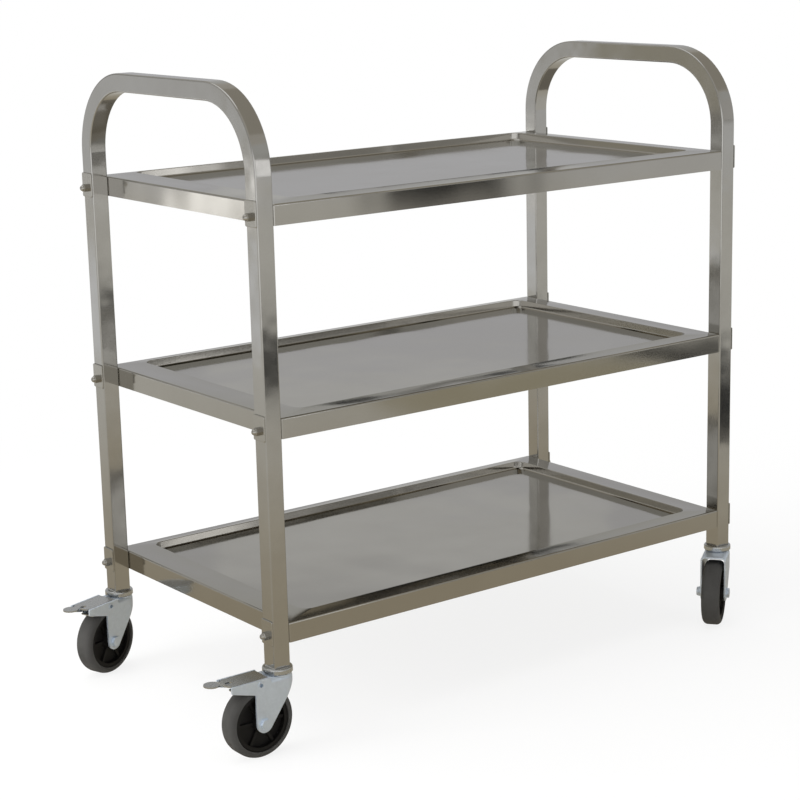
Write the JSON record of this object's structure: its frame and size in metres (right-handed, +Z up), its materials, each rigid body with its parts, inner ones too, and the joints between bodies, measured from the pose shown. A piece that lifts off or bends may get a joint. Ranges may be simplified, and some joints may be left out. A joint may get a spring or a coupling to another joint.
{
  "type": "serving trolley",
  "caption": "Stainless steel serving trolley: recessed folded trays bolted between bent square-tube end frames with push hoops, on swivel castors, the left ones with foot brakes.",
  "frame": {"origin": "on the floor, midway between the four legs", "axes": "+X along the trays to the end with the plain castors, +Y across to the back, +Z up"},
  "size_m": [1.0114, 0.5432, 0.8826],
  "materials": {
    "stainless_tube": "polished, lightly drawn along the tube",
    "stainless_sheet": "satin sheet with a faint lengthwise grain",
    "stainless_fixings": "bright, tumbled",
    "zinc_plated_steel": "bright zinc plating over pressed steel",
    "ball_steel": "polished and greased",
    "tread_rubber": "matt dark grey rubber",
    "wheel_plastic": "moulded black plastic",
    "plug_nylon": "moulded grey nylon"
  },
  "bodies": {
    "frame": {"bottom_tray": "stainless_sheet", "bottom_tray_bolts": "stainless_fixings", "bottom_tray_clamp_plates": "stainless_fixings", "bottom_tray_nuts": "stainless_fixings", "castor_stems": "zinc_plated_steel", "castor_upper_races": "zinc_plated_steel", "left_end_frame": "stainless_tube", "leg_plugs": "plug_nylon", "middle_tray": "stainless_sheet", "middle_tray_bolts": "stainless_fixings", "middle_tray_clamp_plates": "stainless_fixings", "middle_tray_nuts": "stainless_fixings", "right_end_frame": "stainless_tube", "top_tray": "stainless_sheet", "top_tray_bolts": "stainless_fixings", "top_tray_clamp_plates": "stainless_fixings", "top_tray_nuts": "stainless_fixings"},
    "front_left_swivel": {"front_left_axle_bolt": "zinc_plated_steel", "front_left_axle_nut": "zinc_plated_steel", "front_left_axle_sleeve": "zinc_plated_steel", "front_left_brake_pin": "zinc_plated_steel", "front_left_castor_fork": "zinc_plated_steel", "front_left_swivel_balls": "ball_steel"},
    "front_left_pedal": {"front_left_brake_pedal": "zinc_plated_steel", "front_left_brake_shoe": "zinc_plated_steel"},
    "front_left_wheel": {"front_left_tyre": "tread_rubber", "front_left_wheel_centre": "wheel_plastic"},
    "front_right_swivel": {"front_right_axle_bolt": "zinc_plated_steel", "front_right_axle_nut": "zinc_plated_steel", "front_right_axle_sleeve": "zinc_plated_steel", "front_right_castor_fork": "zinc_plated_steel", "front_right_swivel_balls": "ball_steel"},
    "front_right_wheel": {"front_right_tyre": "tread_rubber", "front_right_wheel_centre": "wheel_plastic"},
    "rear_left_swivel": {"rear_left_axle_bolt": "zinc_plated_steel", "rear_left_axle_nut": "zinc_plated_steel", "rear_left_axle_sleeve": "zinc_plated_steel", "rear_left_brake_pin": "zinc_plated_steel", "rear_left_castor_fork": "zinc_plated_steel", "rear_left_swivel_balls": "ball_steel"},
    "rear_left_pedal": {"rear_left_brake_pedal": "zinc_plated_steel", "rear_left_brake_shoe": "zinc_plated_steel"},
    "rear_left_wheel": {"rear_left_tyre": "tread_rubber", "rear_left_wheel_centre": "wheel_plastic"},
    "rear_right_swivel": {"rear_right_axle_bolt": "zinc_plated_steel", "rear_right_axle_nut": "zinc_plated_steel", "rear_right_axle_sleeve": "zinc_plated_steel", "rear_right_castor_fork": "zinc_plated_steel", "rear_right_swivel_balls": "ball_steel"},
    "rear_right_wheel": {"rear_right_tyre": "tread_rubber", "rear_right_wheel_centre": "wheel_plastic"}
  },
  "joints": [
    {"name": "front_left_swivel", "type": "hinge", "parent": "frame", "child": "front_left_swivel", "pos_m": [-0.4123, -0.2123, 0.109], "axis": [0, 0, 1], "continuous": true},
    {"name": "front_left_wheel_spin", "type": "hinge", "parent": "front_left_swivel", "child": "front_left_wheel", "pos_m": [-0.4473, -0.2123, 0.05], "axis": [0, 1, 0], "continuous": true},
    {"name": "front_left_brake", "type": "hinge", "parent": "front_left_swivel", "child": "front_left_pedal", "pos_m": [-0.4513, -0.2123, 0.1046], "axis": [0, -1, 0], "range_deg": [0, 12]},
    {"name": "rear_left_swivel", "type": "hinge", "parent": "frame", "child": "rear_left_swivel", "pos_m": [-0.4123, 0.2123, 0.109], "axis": [0, 0, 1], "continuous": true},
    {"name": "rear_left_wheel_spin", "type": "hinge", "parent": "rear_left_swivel", "child": "rear_left_wheel", "pos_m": [-0.44559, 0.20148, 0.05], "axis": [-0.309, 0.9511, 0], "continuous": true},
    {"name": "rear_left_brake", "type": "hinge", "parent": "rear_left_swivel", "child": "rear_left_pedal", "pos_m": [-0.44939, 0.20025, 0.1046], "axis": [0.309, -0.9511, 0], "range_deg": [0, 12]},
    {"name": "front_right_swivel", "type": "hinge", "parent": "frame", "child": "front_right_swivel", "pos_m": [0.4123, -0.2123, 0.109], "axis": [0, 0, 1], "continuous": true},
    {"name": "front_right_wheel_spin", "type": "hinge", "parent": "front_right_swivel", "child": "front_right_wheel", "pos_m": [0.38435, -0.23336, 0.05], "axis": [-0.6018, 0.7986, 0], "continuous": true},
    {"name": "rear_right_swivel", "type": "hinge", "parent": "frame", "child": "rear_right_swivel", "pos_m": [0.4123, 0.2123, 0.109], "axis": [0, 0, 1], "continuous": true},
    {"name": "rear_right_wheel_spin", "type": "hinge", "parent": "rear_right_swivel", "child": "rear_right_wheel", "pos_m": [0.44025, 0.23336, 0.05], "axis": [0.6018, -0.7986, 0], "continuous": true}
  ]
}
